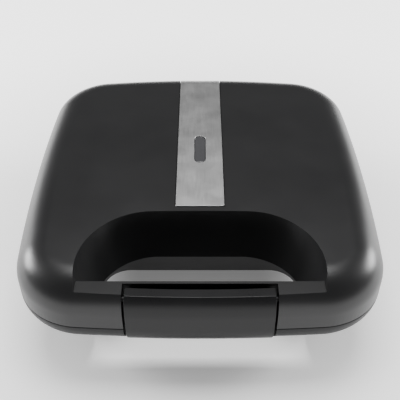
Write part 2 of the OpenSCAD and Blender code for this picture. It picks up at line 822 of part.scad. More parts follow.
module base_wiring() {
    z = -base_h + wall + 4;
    x0 = block_x + 6;
    x1 = x0 + 12;
    color([0.1, 0.25, 0.6]) placed() {
        for (side = [-1, 1]) {
            x = side < 0 ? x0 : x1;
            drop = element_drop(side * element_x);
            wire([[x, block_y + 2, z], [x, block_y - 14, z], [side * 44, block_y - 10, z],
                  [drop[0].x, drop[0].y, -wire_z - 4], [drop[1].x, drop[1].y, -drop[1].z],
                  [drop[2].x, drop[2].y, -drop[2].z]]);
        }
        wire([[-duct_x, hinge_y - 5, -3], [-duct_x, duct_y - 4, -5], [-duct_x, duct_y - 12, -12],
              [x1, duct_y - 20, -24], [x1, duct_y - 25, z], [x1, block_y + 12, z]]);
    }
}

// Bush with a flange that a mains cord passes through.
module cord_gland() {
    color([0.08, 0.08, 0.08]) placed() difference() {
        union() {
            gland_tube(gland_r - 0.1, gland_y0, gland_y1);
            gland_tube(gland_r + 2, half_d - 0.9, gland_y1 + 2);
        }
        gland_tube(cord_bore_r, gland_y0 - over, gland_y1 + 2 + over);
    }
}

// Rubber foot with a neck and a head that snap into the base's bottom.
module foot(x, y) {
    head_z = foot_h + wall + 0.1;
    color([0.04, 0.04, 0.04]) translate([x, mid_y + y, 0]) {
        cylinder(r = foot_r, h = foot_h - 0.1);
        cylinder(r = 2.8, h = head_z + 0.5);
        translate([0, 0, head_z]) cylinder(r = 3.8, h = 2);
    }
}

module hinge_pin(side) {
    ear_end = hinge_x + knuckle_w / 2 + 0.4 + ear_w;
    length = knuckle_w + 2 * (ear_w + 0.4);
    color([0.75, 0.75, 0.75]) placed() mirror([side < 0 ? 1 : 0, 0, 0])
        translate([ear_end, hinge_y, 0]) rotate([0, -90, 0]) {
            cylinder(r = hinge_pin_r, h = length);
            translate([0, 0, -1.2]) cylinder(r = hinge_pin_r + 1.2, h = 1.1);
            translate([0, 0, -0.15]) cylinder(r = hinge_pin_r, h = 0.2);
        }
}

module hinge_wire_sleeve() {
    color([0.85, 0.83, 0.75]) placed() translate([-13.5, hinge_y, 0]) rotate([0, 90, 0]) difference() {
        cylinder(r = wire_bore_r - 0.3, h = 27);
        translate([0, 0, -over]) cylinder(r = 2.2, h = 29);
    }
}

base_shell();
base_frame();
lower_grill_plate();
lower_heating_element();
lower_element_clamps();
lower_heat_reflector();
base_thermostat();
terminal_block();
base_wiring();
cord_gland();
foot(-foot_x, -foot_y);  // foot_front_left
foot(foot_x, -foot_y);  // foot_front_right
foot(-foot_x, foot_y);  // foot_rear_left
foot(foot_x, foot_y);  // foot_rear_right
base_frame_screws();
lower_plate_screws();
hinge_pin(-1);  // hinge_pin_left
hinge_pin(1);  // hinge_pin_right
hinge_wire_sleeve();
lid_shell();
trim_strip();
indicator_lens();
lamp_holder();
lamp(lens_y - lamp_y, [0.85, 0.2, 0.12]);  // power_lamp
lamp(lens_y + lamp_y, [0.2, 0.7, 0.3]);  // ready_lamp
lid_frame();
upper_grill_plate();
upper_heating_element();
upper_element_clamps();
upper_heat_reflector();
lid_thermostat();
thermal_fuse();
lid_wiring();
lid_frame_screws();
upper_plate_screws();
latch_pin();
latch();
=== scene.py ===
import math

import bmesh
import bpy
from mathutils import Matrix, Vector
from mathutils.bvhtree import BVHTree
from mathutils.interpolate import poly_3d_calc


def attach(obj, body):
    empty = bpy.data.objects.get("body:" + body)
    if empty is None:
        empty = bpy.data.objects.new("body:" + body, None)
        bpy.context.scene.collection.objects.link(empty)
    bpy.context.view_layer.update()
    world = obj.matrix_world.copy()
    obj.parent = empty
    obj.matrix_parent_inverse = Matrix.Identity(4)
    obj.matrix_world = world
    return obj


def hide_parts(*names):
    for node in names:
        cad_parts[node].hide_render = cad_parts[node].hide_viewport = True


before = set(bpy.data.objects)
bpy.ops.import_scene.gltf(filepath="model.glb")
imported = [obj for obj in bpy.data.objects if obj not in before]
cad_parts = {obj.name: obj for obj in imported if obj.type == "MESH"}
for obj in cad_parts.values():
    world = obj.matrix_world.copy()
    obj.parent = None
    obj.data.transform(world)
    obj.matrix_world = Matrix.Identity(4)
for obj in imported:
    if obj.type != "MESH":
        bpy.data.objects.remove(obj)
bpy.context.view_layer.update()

# ------------------------------------------------------------------ frame numbers (mm)
MM = 0.001
PART_Z = 46.0          # parting plane over the table
HALF_W, HALF_D = 113.0, 117.5
PROUD, KNUCKLE_R = 0.8, 5.5
BARREL_R = KNUCKLE_R - 0.02      # the CAD mesh has a flat at the barrel's rearmost line
HINGE_Y = HALF_D + KNUCKLE_R + 1.3
MID_Y = (HALF_D + PROUD - HINGE_Y - KNUCKLE_R) / 2
CORNER_R, BOW, WALL, SEAM = 42.0, 2.2, 2.5, 0.5
LID_H, BASE_H = 34.0, 38.0
EDGE_R, Z_ARC = 22.0, 10.0
BASE_R, SLOPE = 18.0, 52.0
BOTTOM_TURN_H = 2.6               # height of the soft turn from the flat bottom into the slope
CROWN_X, CROWN_Y = 3.8, 2.4
BAR_Y = -HALF_D + 16.0
LEDGE_Z, LEDGE_R = 24.0, 7.0
# finger hole: half width, depth from the front and corner radius at the lid's top,
# then how much each shrinks below
GRIP_X, GRIP_BACK, GRIP_R = 72.0, 65.0, 43.0
GRIP_LESS_X, GRIP_LESS_BACK, GRIP_LESS_R, GRIP_CURVE = 10.0, 7.0, 6.0, 1.6
BASE_GRIP_R = 18.0
BASE_GRIP_TOP, BASE_GRIP_BOTTOM = (62.0, 58.0), (66.0, 83.0)       # half width and depth from the front
LATCH_X, LATCH_GAP, LATCH_T, LATCH_DROP = 42.5, 1.4, 4.6, 12.0
POCKET_X = LATCH_X + LATCH_GAP
POCKET_Y = BAR_Y - 1.8
BASE_POCKET_Y = BAR_Y - 5.0
LATCH_R, LATCH_TOP_R = 3.0, 0.6    # corners of the latch's front, low and high
PIN_Y, PIN_Z = -HALF_D + 8.0, LEDGE_Z - 6.0
PIN_BORE_R, LATCH_BARREL_R = 1.55, 3.2
HINGE_BORE_R, SLEEVE_BORE_R, WIRE_HOLE_R, WIRE_X, WIRE_Z = 2.55, 3.2, 2.0, 7.5, 3.0
WIRE_HOLE_L = 14.0
LID_KNUCKLES = ((53, 14), (-67, 14), (1, 13))                       # start and length along x
BASE_KNUCKLES = ((45.6, 7), (67.4, 7), (-52.6, 7), (-74.4, 7), (-14, 13))
GLAND_X, GLAND_Z, GLAND_TUBE_R, GLAND_HOLE_R = -30.0, -16.0, 8.0, 6.0
VENT_PITCH, VENT_R, VENT_Y0, VENT_Y1, VENTS_EACH_SIDE = 12, 1.5, 21.5, 62.5, 3
STRIP_Y0 = -HALF_D + GRIP_BACK + 4.6
STRIP_W, STRIP_T, STRIP_GAP, STRIP_Z0 = 30.0, 1.2, 0.7, 12.0
LENS_Y, LENS_L, LENS_W, LENS_GAP = STRIP_Y0 + 58, 30.0, 7.5, 0.15
LENS_SHOULDER, LENS_DOME = 0.9, 0.75       # the rim's depth under the lid's top, and the dome's rise over it
SHELL_EDGE, BASE_EDGE, LATCH_EDGE, STRIP_EDGE = 0.45, 0.4, 0.5, 0.18
STRIP_STATIONS = 13
FOOT_STEPS = 72
# a foot from its hollow underside over the rim to the plug's tip, as radius and height over the table
FOOT_PROFILE = ((3.6, 0.5), (4.4, 0.45), (4.8, 0.1), (5.4, 0.0), (6.2, 0.12), (6.8, 0.5), (7.0, 1.1),
                (7.0, 6.6), (6.8, 7.3), (6.3, 7.75), (5.6, 7.9), (2.8, 7.9), (2.8, 10.6), (3.5, 10.7),
                (3.8, 11.0), (3.8, 11.8), (3.4, 12.4), (2.4, 12.6))
WELD = 0.02
# camera: distance in front of the shells' middle, height over the parting plane, and tilt
CAMERA_BACK, CAMERA_UP, CAMERA_TILT, CAMERA_LENS = 359.1, 308.75, 41, 60.69
# painted shadow: the floor glows less under the press, radii in metres, then strengths
GLOW_FROM, GLOW_TO, PAINTED_SHADOW_GLOW, GLOW_FAR = 0.06, 0.36, 0.16, 1.5
FLOOR_HALF = 6
WORLD_STRENGTH, OVERHEAD_W, CORNER_LIGHT_W = 0.28, 38, 17

corner_x = HALF_W - CORNER_R - BOW
corner_y = HALF_D - CORNER_R - BOW
reach2 = corner_x ** 2 + corner_y ** 2
side_c = (reach2 - (HALF_W - CORNER_R) ** 2) / (2 * BOW)
end_c = (reach2 - (HALF_D - CORNER_R) ** 2) / (2 * BOW)
side_turn = math.atan2(corner_y, corner_x + side_c)
end_turn = math.atan2(corner_y + end_c, corner_x)
DEEP = min(corner_x, corner_y) + CORNER_R - 30

# ------------------------------------------------------------------ camera
cam_data = bpy.data.cameras.new("camera")
cam_data.lens = CAMERA_LENS
cam_data.sensor_width = 36.0
cam_data.clip_start = 0.01
cam = bpy.data.objects.new("camera", cam_data)
cam.location = (0.0, (MID_Y - CAMERA_BACK) * MM, (PART_Z + CAMERA_UP) * MM)
cam.rotation_euler = (math.radians(90 - CAMERA_TILT), 0.0, 0.0)
bpy.context.scene.collection.objects.link(cam)
bpy.context.scene.camera = cam


# ------------------------------------------------------------------ mesh helpers
def side_at(inset, y):
    return math.sqrt((HALF_W + side_c - inset) ** 2 - y * y) - side_c


def end_at(inset, x):
    return math.sqrt((HALF_D + end_c - inset) ** 2 - x * x) - end_c


def outline(inset, n=22):
    """The body's outline from above, moved in by inset, with n steps to each half side and corner."""
    r = max(CORNER_R - inset, 8)
    deep = max(0, inset - CORNER_R + 8)
    cx, cy = corner_x - deep, corner_y - deep
    q = [(side_at(inset, cy * i / n), cy * i / n) for i in range(n)]
    for i in range(n + 1):
        a = side_turn + (end_turn - side_turn) * i / n
        q.append((cx + r * math.cos(a), cy + r * math.sin(a)))
    q += [(cx * i / n, end_at(inset, cx * i / n)) for i in range(n - 1, -1, -1)]
    m = len(q) - 1
    return (q[:m] + [(-q[i][0], q[i][1]) for i in range(m, 0, -1)]
            + [(-q[i][0], -q[i][1]) for i in range(m)] + [(q[i][0], -q[i][1]) for i in range(m, 0, -1)])


def top_z(x, y):
    return LID_H - CROWN_X * (x / HALF_W) ** 2 - CROWN_Y * (y / HALF_D) ** 2


def lid_rings(inset=0.0, mouth=0.0, arc_n=20, crown_n=16, n=22):
    brow = outline(EDGE_R, n)
    rings = [[(x, y, SEAM / 2 - mouth) for x, y in outline(inset, n)]]
    for k in range(arc_n + 1):
        t = math.pi / 2 * k / arc_n
        line = outline(EDGE_R - (EDGE_R - inset) * math.cos(t), n)
        rings.append([(x, y, Z_ARC + (top_z(*b) - inset - Z_ARC) * math.sin(t))
                      for (x, y), b in zip(line, brow)])
    for k in range(1, crown_n + 1):
        line = outline(EDGE_R + (DEEP - EDGE_R) * k / crown_n, n)
        rings.append([(x, y, top_z(x, y) - inset) for x, y in line])
    # the middle closes in shrinking copies of the innermost ring
    inner = rings[-1]
    for s in (0.75, 0.5, 0.25):
        rings.append([(x * s, y * s, top_z(x * s, y * s) - inset) for x, y, _ in inner])
    return rings


def base_rings(inset=0.0, mouth=0.0, arc_n=12, n=22):
    r = BASE_R - inset
    turn = math.radians(90 - SLOPE)
    z0, x0 = -SEAM / 2 - r * math.sin(turn), BASE_R - r * math.cos(turn)
    bottom = -BASE_H + inset
    low = x0 + (z0 - bottom) / math.tan(math.radians(SLOPE))
    rings = []
    for s in (0.3, 0.6, 0.85):
        rings.append([(x * s, y * s, bottom) for x, y in outline(low, n)])
    rings.append([(x, y, bottom) for x, y in outline(low + 2.2, n)])
    # a soft turn from the flat bottom into the slope
    for k in range(1, 5):
        f = k / 5
        rings.append([(x, y, bottom + BOTTOM_TURN_H * f * f) for x, y in outline(low + 2.2 - 4.2 * f, n)])
    for k in range(1, 7):
        f = k / 6
        z = bottom + BOTTOM_TURN_H + (z0 - bottom - BOTTOM_TURN_H) * f
        rings.append([(x, y, z) for x, y in outline(x0 + (z0 - z) / math.tan(math.radians(SLOPE)), n)])
    for k in range(arc_n - 1, -1, -1):
        t = turn * k / arc_n
        rings.append([(x, y, -SEAM / 2 - r * math.sin(t)) for x, y in outline(BASE_R - r * math.cos(t), n)])
    if mouth:
        rings.append([(x, y, -SEAM / 2 + mouth) for x, y in outline(inset, n)])
    return rings


def place(p):
    return (p[0] * MM, (p[1] + MID_Y) * MM, (p[2] + PART_Z) * MM)


def make(name, verts, faces):
    mesh = bpy.data.meshes.new(name)
    mesh.from_pydata([place(v) for v in verts], [], faces)
    mesh.validate()
    obj = bpy.data.objects.new(name, mesh)
    bpy.context.scene.collection.objects.link(obj)
    bm = bmesh.new()
    bm.from_mesh(mesh)
    bmesh.ops.recalc_face_normals(bm, faces=bm.faces)
    bm.to_mesh(mesh)
    bm.free()
    return obj


def from_rings(name, rings):
    """A closed skin over rings of equal length, with a cap at each end."""
    n, m = len(rings[0]), len(rings)
    verts = [p for ring in rings for p in ring]
    faces = []
    for i in range(m - 1):
        a, b = i * n, (i + 1) * n
        faces += [(a + k, a + (k + 1) % n, b + (k + 1) % n, b + k) for k in range(n)]
    faces.append(tuple(range(n - 1, -1, -1)))
    faces.append(tuple(range((m - 1) * n, m * n)))
    return make(name, verts, faces)


def prism(name, pts, z0, z1):
    return from_rings(name, [[(x, y, z0) for x, y in pts], [(x, y, z1) for x, y in pts]])


def block(name, x0, x1, y0, y1, z0, z1):
    return prism(name, [(x0, y0), (x1, y0), (x1, y1), (x0, y1)], z0, z1)


def rod(name, at, axis, r, length, n=64):
    """A round rod from at, along axis 'x', 'y' or 'z'."""
    rings = []
    for h in (0, length):
        ring = []
        for k in range(n):
            a = 2 * math.pi * k / n
            c, s = r * math.cos(a), r * math.sin(a)
            ring.append({"x": (at[0] + h, at[1] + c, at[2] + s), "y": (at[0] + s, at[1] + h, at[2] + c),
                         "z": (at[0] + c, at[1] + s, at[2] + h)}[axis])
        rings.append(ring)
    return from_rings(name, rings)


def hull(name, pts):
    bm = bmesh.new()
    for p in pts:
        bm.verts.new(place(p))
    bmesh.ops.remove_doubles(bm, verts=bm.verts, dist=1e-6)
    res = bmesh.ops.convex_hull(bm, input=bm.verts)
    inside = [v for v in res["geom_interior"] if isinstance(v, bmesh.types.BMVert)]
    bmesh.ops.delete(bm, geom=inside, context="VERTS")
    bmesh.ops.recalc_face_normals(bm, faces=bm.faces)
    bmesh.ops.dissolve_limit(bm, angle_limit=math.radians(0.3), verts=bm.verts, edges=bm.edges)
    mesh = bpy.data.meshes.new(name)
    bm.to_mesh(mesh)
    bm.free()
    obj = bpy.data.objects.new(name, mesh)
    bpy.context.scene.collection.objects.link(obj)
    return obj


def boolean(obj, others, op="DIFFERENCE"):
    for other in others if isinstance(others, (list, tuple)) else [others]:
        mod = obj.modifiers.new("b", "BOOLEAN")
        mod.operation = op
        mod.solver = "EXACT"
        mod.object = other
        dg = bpy.context.evaluated_depsgraph_get()
        mesh = bpy.data.meshes.new_from_object(obj.evaluated_get(dg))
        obj.modifiers.clear()
        old = obj.data
        obj.data = mesh
        bpy.data.meshes.remove(old)
        om = other.data
        bpy.data.objects.remove(other)
        bpy.data.meshes.remove(om)
    return obj


def grip_pts(half_x, y_back, r, grow, z, n=28):
    pts = []
    cx, cy, rr = half_x - r, y_back - r, r + grow
    for side in (1, -1):
        for k in range(n + 1):
            a = math.pi / 2 * k / n
            pts.append((side * (cx + rr * math.cos(a)), cy + rr * math.sin(a), z))
        pts.append((side * (half_x + grow), BAR_Y - grow, z))
    return pts


def grip_narrowing(z):
    """How far the finger hole has narrowed at height z: 0 over the lid's top, 1 under the parting plane."""
    return max(0.0, (LID_H + 1 - z) / (LID_H + 2)) ** GRIP_CURVE


def lid_grip(grow):
    pts = []
    for k in range(15):
        z = LID_H + 1 - (LID_H + 2) * k / 14
        f = grip_narrowing(z)
        pts += grip_pts(GRIP_X - GRIP_LESS_X * f, -HALF_D + GRIP_BACK - GRIP_LESS_BACK * f,
                        GRIP_R - GRIP_LESS_R * f, grow, z)
    return hull("cut_grip", pts)


def ledge_cut(grow):
    pts = []
    r = LEDGE_R
    y0 = -HALF_D + 1 - grow
    low_half = GRIP_X - GRIP_LESS_X * grip_narrowing(LEDGE_Z) + grow
    for half, z in ((low_half, LEDGE_Z - grow), (GRIP_X + grow, LID_H + 1)):
        for side in (1, -1):
            pts.append((side * half, BAR_Y + 2, z))
            for k in range(13):
                a = math.pi / 2 * k / 12
                pts.append((side * (half - r + r * math.cos(a)), y0 + r - r * math.sin(a), z))
    return hull("cut_ledge", pts)


def base_grip(grow):
    pts = []
    for (half_x, back), z in ((BASE_GRIP_TOP, 1), (BASE_GRIP_BOTTOM, -BASE_H - 1)):
        pts += grip_pts(half_x, -HALF_D + back, BASE_GRIP_R, grow, z)
    return hull("cut_base_grip", pts)


def section(inset, n=24):
    """The rear half of the lid's middle section as (y, z), from the rear mouth to the top's middle."""
    brow = top_z(0, HALF_D - EDGE_R) - inset
    rear = [(HALF_D - inset, -1.0)]
    for k in range(n):
        t = math.pi / 2 * k / n
        rear.append((HALF_D - EDGE_R + (EDGE_R - inset) * math.cos(t), Z_ARC + (brow - Z_ARC) * math.sin(t)))
    rear += [(y, top_z(0, y) - inset) for y in [(HALF_D - EDGE_R) * (1 - k / 12) for k in range(13)]]
    return rear


def over_the_top(rear):
    """The whole section line, from its rear half."""
    return rear + [(-y, z) for y, z in reversed(rear[:-1])]


def clip(line, y0, z0):
    """The part of a section line behind y0 and above z0, with its ends cut exactly there."""
    out = []
    for (ya, za), (yb, zb) in zip(line, line[1:]):
        for (y, z) in ((ya, za), (yb, zb)):
            if y >= y0 and z >= z0 and (not out or out[-1] != (y, z)):
                out.append((y, z))
        if (ya < y0) != (yb < y0) and min(za, zb) >= z0:
            t = (y0 - ya) / (yb - ya)
            out.append((y0, za + (zb - za) * t))
        if (za < z0) != (zb < z0) and min(ya, yb) >= y0:
            t = (z0 - za) / (zb - za)
            p = (ya + (yb - ya) * t, z0)
            out.insert(0, p) if za < z0 else out.append(p)
    return out


def pill(grow, n=20):
    """The lens's outline from above, grown by grow."""
    r, h = LENS_W / 2 + grow, (LENS_L - LENS_W) / 2
    turns = [math.pi * k / n for k in range(n + 1)]
    return ([(r * math.cos(a), LENS_Y + h + r * math.sin(a)) for a in turns]
            + [(-r * math.cos(a), LENS_Y - h - r * math.sin(a)) for a in turns])


def clean(obj, dist=0.06):
    bm = bmesh.new()
    bm.from_mesh(obj.data)
    bmesh.ops.remove_doubles(bm, verts=bm.verts, dist=dist * MM)
    bmesh.ops.dissolve_degenerate(bm, edges=bm.edges, dist=dist * MM)
    bmesh.ops.recalc_face_normals(bm, faces=bm.faces)
    bm.to_mesh(obj.data)
    bm.free()


def shade_smooth(mesh):
    for polygon in mesh.polygons:
        polygon.use_smooth = True


def merge_short_creases(obj, limit, angle, rounds=8):
    """Pulls in points that lie closer than the limit to a crease, so that a bevel has room there."""
    crease = math.radians(angle)
    for _ in range(rounds):
        bm = bmesh.new()
        bm.from_mesh(obj.data)
        creases = {e for e in bm.edges if len(e.link_faces) == 2 and e.calc_face_angle(0.0) > crease}
        rank = {v: sum(e in creases for e in v.link_edges) for v in bm.verts}
        target, used = {}, set()
        for edge in sorted(bm.edges, key=lambda e: e.calc_length()):
            if edge.calc_length() > limit * MM:
                break
            keep, move = sorted(edge.verts, key=lambda v: -rank[v])
            if keep in used or move in used or rank[keep] < 2 or rank[move] > 2:
                continue
            if rank[move] == 2 and edge not in creases:
                continue
            target[move] = keep
            used.update(edge.verts)
        if not target:
            bm.free()
            return
        bmesh.ops.weld_verts(bm, targetmap=target)
        bmesh.ops.dissolve_degenerate(bm, edges=bm.edges, dist=0.02 * MM)
        bm.to_mesh(obj.data)
        bm.free()


def add_bevel(obj, width, angle, segments=3):
    mod = obj.modifiers.new("edge", "BEVEL")
    mod.width = width * MM
    mod.segments = segments
    mod.limit_method = "ANGLE"
    mod.angle_limit = math.radians(angle)
    mod.use_clamp_overlap = True


def round_edges(obj, width, angle=30):
    """Bevels the creases of a mesh for good."""
    merge_short_creases(obj, 2 * width, angle)
    add_bevel(obj, width, angle)
    dg = bpy.context.evaluated_depsgraph_get()
    mesh = bpy.data.meshes.new_from_object(obj.evaluated_get(dg))
    obj.modifiers.clear()
    old, obj.data = obj.data, mesh
    bpy.data.meshes.remove(old)


def smooth_surfaces(obj, sources, angle=38):
    """Gives faces that lie on the uncut source meshes those meshes' own normals."""
    mesh = obj.data
    shade_smooth(mesh)
    mesh.set_sharp_from_angle(angle=math.radians(angle))
    trees = []
    for source in sources:
        shade_smooth(source.data)
        trees.append((BVHTree.FromObject(source, bpy.context.evaluated_depsgraph_get()), source.data))
    normals = [Vector(n.vector) for n in mesh.corner_normals]
    limit = math.cos(math.radians(angle))
    for polygon in mesh.polygons:
        flat = polygon.area > 12 * MM * MM
        for loop in polygon.loop_indices:
            point = mesh.vertices[mesh.loops[loop].vertex_index].co
            found = False
            for tree, source in trees:
                at, _, index, _ = tree.find_nearest(point, 0.04 * MM)
                if at is None:
                    continue
                corners = [source.vertices[i] for i in source.polygons[index].vertices]
                weights = poly_3d_calc([c.co for c in corners], at)
                normal = sum((c.normal * w for c, w in zip(corners, weights)), Vector()).normalized()
                if normal.dot(polygon.normal) > limit:
                    normals[loop] = normal
                    found = True
                    break
            if not found and flat:
                normals[loop] = polygon.normal.copy()
    mesh.normals_split_custom_set(normals)
    for source in sources:
        data = source.data
        bpy.data.objects.remove(source)
        bpy.data.meshes.remove(data)


def soften(obj, width=0.4, angle=30, segments=3):
    """Rounded edges and even shading on a small hard piece, as modifiers."""
    shade_smooth(obj.data)
    add_bevel(obj, width, angle, segments)
    obj.modifiers.new("normals", "WEIGHTED_NORMAL")


def add_knuckle(shell, x0, length, y_in, z0, z1):
    """Joins one hinge barrel, and the web that carries it, to a shell."""
    profile = ((y_in, z0), (HINGE_Y, z0), (HINGE_Y, z1), (y_in, z1))
    web = from_rings("web", [[(x, y, z) for y, z in profile] for x in (x0, x0 + length)])
    boolean(shell, [web, rod("barrel", (x0, HINGE_Y, 0), "x", BARREL_R, length)], "UNION")


# ------------------------------------------------------------------ materials
def node(tree, kind, **props):
    n = tree.nodes.new(kind)
    for k, v in props.items():
        if k in n.inputs:
            n.inputs[k].default_value = v
        else:
            setattr(n, k, v)
    return n


def material(name, dark, light, rough, spread=0.06, grain=0.6, bump=0.05, depth=0.03, stretch=(1, 1, 1),
             metallic=0.0, blotch=14.0, **principled):
    """A procedural surface. grain and blotch are sizes in mm, depth is the bump's height in mm."""
    mat = bpy.data.materials.new(name)
    mat.use_nodes = True
    tree = mat.node_tree
    bsdf = tree.nodes["Principled BSDF"]
    bsdf.inputs["Metallic"].default_value = metallic
    for k, v in principled.items():
        bsdf.inputs[k.replace("_", " ")].default_value = v
    link = tree.links.new
    coord = node(tree, "ShaderNodeTexCoord")
    fit = node(tree, "ShaderNodeMapping")
    fit.inputs["Scale"].default_value = stretch
    link(coord.outputs["Object"], fit.inputs["Vector"])
    fine = node(tree, "ShaderNodeTexNoise", Scale=1 / (grain * MM), Detail=6.0, Roughness=0.6)
    link(fit.outputs["Vector"], fine.inputs["Vector"])
    large = node(tree, "ShaderNodeTexNoise", Scale=1 / (blotch * MM), Detail=3.0, Roughness=0.5)
    link(coord.outputs["Object"], large.inputs["Vector"])
    both = node(tree, "ShaderNodeMix", data_type="FLOAT")
    both.inputs[0].default_value = 0.45
    link(fine.outputs["Fac"], both.inputs[2])
    link(large.outputs["Fac"], both.inputs[3])
    ramp = node(tree, "ShaderNodeValToRGB")
    ramp.color_ramp.elements[0].position = 0.3
    ramp.color_ramp.elements[0].color = (*dark, 1)
    ramp.color_ramp.elements[1].position = 0.7
    ramp.color_ramp.elements[1].color = (*light, 1)
    link(both.outputs[0], ramp.inputs["Fac"])
    link(ramp.outputs["Color"], bsdf.inputs["Base Color"])
    rng = node(tree, "ShaderNodeMapRange")
    rng.inputs["From Min"].default_value = 0.3
    rng.inputs["From Max"].default_value = 0.7
    rng.inputs["To Min"].default_value = max(0.02, rough - spread)
    rng.inputs["To Max"].default_value = min(1.0, rough + spread)
    link(both.outputs[0], rng.inputs["Value"])
    link(rng.outputs["Result"], bsdf.inputs["Roughness"])
    bmp = node(tree, "ShaderNodeBump")
    bmp.inputs["Strength"].default_value = bump
    bmp.inputs["Distance"].default_value = depth * MM
    link(fine.outputs["Fac"], bmp.inputs["Height"])
    link(bmp.outputs["Normal"], bsdf.inputs["Normal"])
    return mat


def paint(obj, mat):
    obj.data.materials.clear()
    obj.data.materials.append(mat)


M = {
    "shell": material("shell_plastic", (0.0065, 0.0065, 0.007), (0.009, 0.009, 0.0095), 0.34, 0.04, grain=0.7,
                      bump=0.12, depth=0.02, blotch=30, Specular_IOR_Level=0.36),
    "latch": material("latch_plastic", (0.0065, 0.0065, 0.007), (0.009, 0.009, 0.0095), 0.30, 0.04, grain=0.7,
                      bump=0.10, depth=0.02, blotch=30, Specular_IOR_Level=0.2),
    "base": material("base_plastic", (0.0065, 0.0065, 0.007), (0.0095, 0.0095, 0.01), 0.40, 0.05, grain=0.7,
                     bump=0.15, depth=0.025, blotch=30, Specular_IOR_Level=0.18),
    "inner": material("inner_plastic", (0.012, 0.012, 0.012), (0.019, 0.019, 0.019), 0.55, 0.06, grain=0.5,
                      bump=0.25, depth=0.04),
    "strip": material("brushed_trim", (0.44, 0.44, 0.44), (0.54, 0.54, 0.54), 0.36, 0.07, grain=0.25,
                      bump=0.12,
                      depth=0.02, stretch=(1, 0.015, 0.3), metallic=1.0),
    "lens": material("lens_grey", (0.045, 0.045, 0.048), (0.06, 0.06, 0.064), 0.16, 0.03, grain=2.0,
                     bump=0.02,
                     depth=0.02, Transmission_Weight=0.15),
    "nonstick": material("nonstick", (0.012, 0.012, 0.013), (0.03, 0.03, 0.031), 0.45, 0.1, grain=0.35,
                         bump=0.35,
                         depth=0.05, metallic=0.3),
    "element": material("element_steel", (0.16, 0.14, 0.12), (0.32, 0.30, 0.27), 0.5, 0.1, grain=1.2,
                        bump=0.2,
                        depth=0.05, metallic=1.0),
    "sheet": material("sheet_steel", (0.45, 0.45, 0.44), (0.58, 0.58, 0.57), 0.33, 0.08, grain=0.5, bump=0.1,
                      depth=0.02, stretch=(1, 0.06, 1), metallic=1.0),
    "zinc": material("zinc_screw", (0.42, 0.43, 0.45), (0.6, 0.61, 0.63), 0.3, 0.08, grain=0.4, bump=0.1,
                     depth=0.02, metallic=1.0),
    "pin": material("ground_steel", (0.5, 0.5, 0.5), (0.62, 0.62, 0.62), 0.22, 0.06, grain=0.3, bump=0.08,
                    depth=0.01, stretch=(0.1, 1, 1), metallic=1.0),
    # painted shade: the latch pin is coloured near black so that its ends look as dark as the shade in the
    # latch's side gaps
    "black_pin": material("pin_steel_painted_dark", (0.008, 0.008, 0.008), (0.016, 0.016, 0.017), 0.5, 0.08,
                          grain=0.3,
                          bump=0.1, depth=0.01, metallic=0.4),
    "ceramic": material("ceramic", (0.68, 0.65, 0.56), (0.8, 0.77, 0.68), 0.6, 0.08, grain=0.6, bump=0.2,
                        depth=0.04),
    "white": material("nylon_white", (0.72, 0.72, 0.68), (0.82, 0.82, 0.79), 0.45, 0.06, grain=0.6, bump=0.15,
                      depth=0.03),
    "wire_red": material("sheath_red", (0.42, 0.02, 0.015), (0.55, 0.035, 0.025), 0.42, 0.06, grain=0.8,
                         bump=0.1,
                         depth=0.02),
    "wire_blue": material("sheath_blue", (0.012, 0.045, 0.26), (0.02, 0.07, 0.36), 0.42, 0.06, grain=0.8,
                          bump=0.1,
                          depth=0.02),
    "sleeve": material("glass_fibre_sleeve", (0.55, 0.52, 0.42), (0.75, 0.72, 0.6), 0.8, 0.08, grain=0.5,
                       bump=0.6,
                       depth=0.08, stretch=(1, 4, 4)),
    "rubber": material("rubber", (0.012, 0.012, 0.012), (0.022, 0.022, 0.022), 0.72, 0.08, grain=0.5,
                       bump=0.35,
                       depth=0.05),
    "lamp_red": material("lamp_red", (0.55, 0.04, 0.02), (0.7, 0.08, 0.04), 0.15, 0.03, grain=2, bump=0.03,
                         Transmission_Weight=0.5),
    "lamp_green": material("lamp_green", (0.05, 0.4, 0.08), (0.08, 0.52, 0.14), 0.15, 0.03, grain=2,
                           bump=0.03,
                           Transmission_Weight=0.5),
}

# ------------------------------------------------------------------ lid
cavity = from_rings("cavity", lid_rings(WALL, 1.0, 12, 8, 12))
boolean(cavity, [lid_grip(WALL), ledge_cut(WALL),
                 block("keep_pocket", -POCKET_X - WALL, POCKET_X + WALL, -HALF_D - 1, BAR_Y, -1, LEDGE_Z)])
lid = from_rings("lid_skin", lid_rings())
boolean(lid, cavity)
half_ch = STRIP_W / 2 + STRIP_GAP
channel_ends = (STRIP_Y0 - STRIP_GAP, STRIP_Z0 - STRIP_GAP)
inner_line = clip(over_the_top(section(STRIP_T + 0.1)), *channel_ends)
outer_line = clip(over_the_top(section(-1.0)), *channel_ends)
channel = from_rings("channel", [[(x, y, z) for y, z in inner_line + outer_line[::-1]]
                                 for x in (-half_ch, half_ch)])
boolean(lid, [lid_grip(0), ledge_cut(0),
              block("pocket", -POCKET_X, POCKET_X, -HALF_D - 2, POCKET_Y, -1, LID_H), channel])
clean(lid)
round_edges(lid, SHELL_EDGE)
for x0, length in LID_KNUCKLES:
    add_knuckle(lid, x0, length, HALF_D - WALL, SEAM / 2, BARREL_R)
boolean(lid, [
    prism("lens_hole", pill(LENS_GAP), 10, 50),
    rod("wire_hole", (WIRE_X, HINGE_Y - WIRE_HOLE_L, WIRE_Z), "y", WIRE_HOLE_R, WIRE_HOLE_L),
    rod("bore_l", (-68, HINGE_Y, 0), "x", HINGE_BORE_R, 16),
    rod("bore_r", (52, HINGE_Y, 0), "x", HINGE_BORE_R, 16),
    rod("bore_m", (0, HINGE_Y, 0), "x", SLEEVE_BORE_R, 15),
    rod("pin_bore", (-POCKET_X - 3.5, PIN_Y, PIN_Z), "x", PIN_BORE_R, 2 * POCKET_X + 7, 32)])
clean(lid, 0.01)
smooth_surfaces(lid, [from_rings("lid_reference", lid_rings())])
paint(lid, M["shell"])
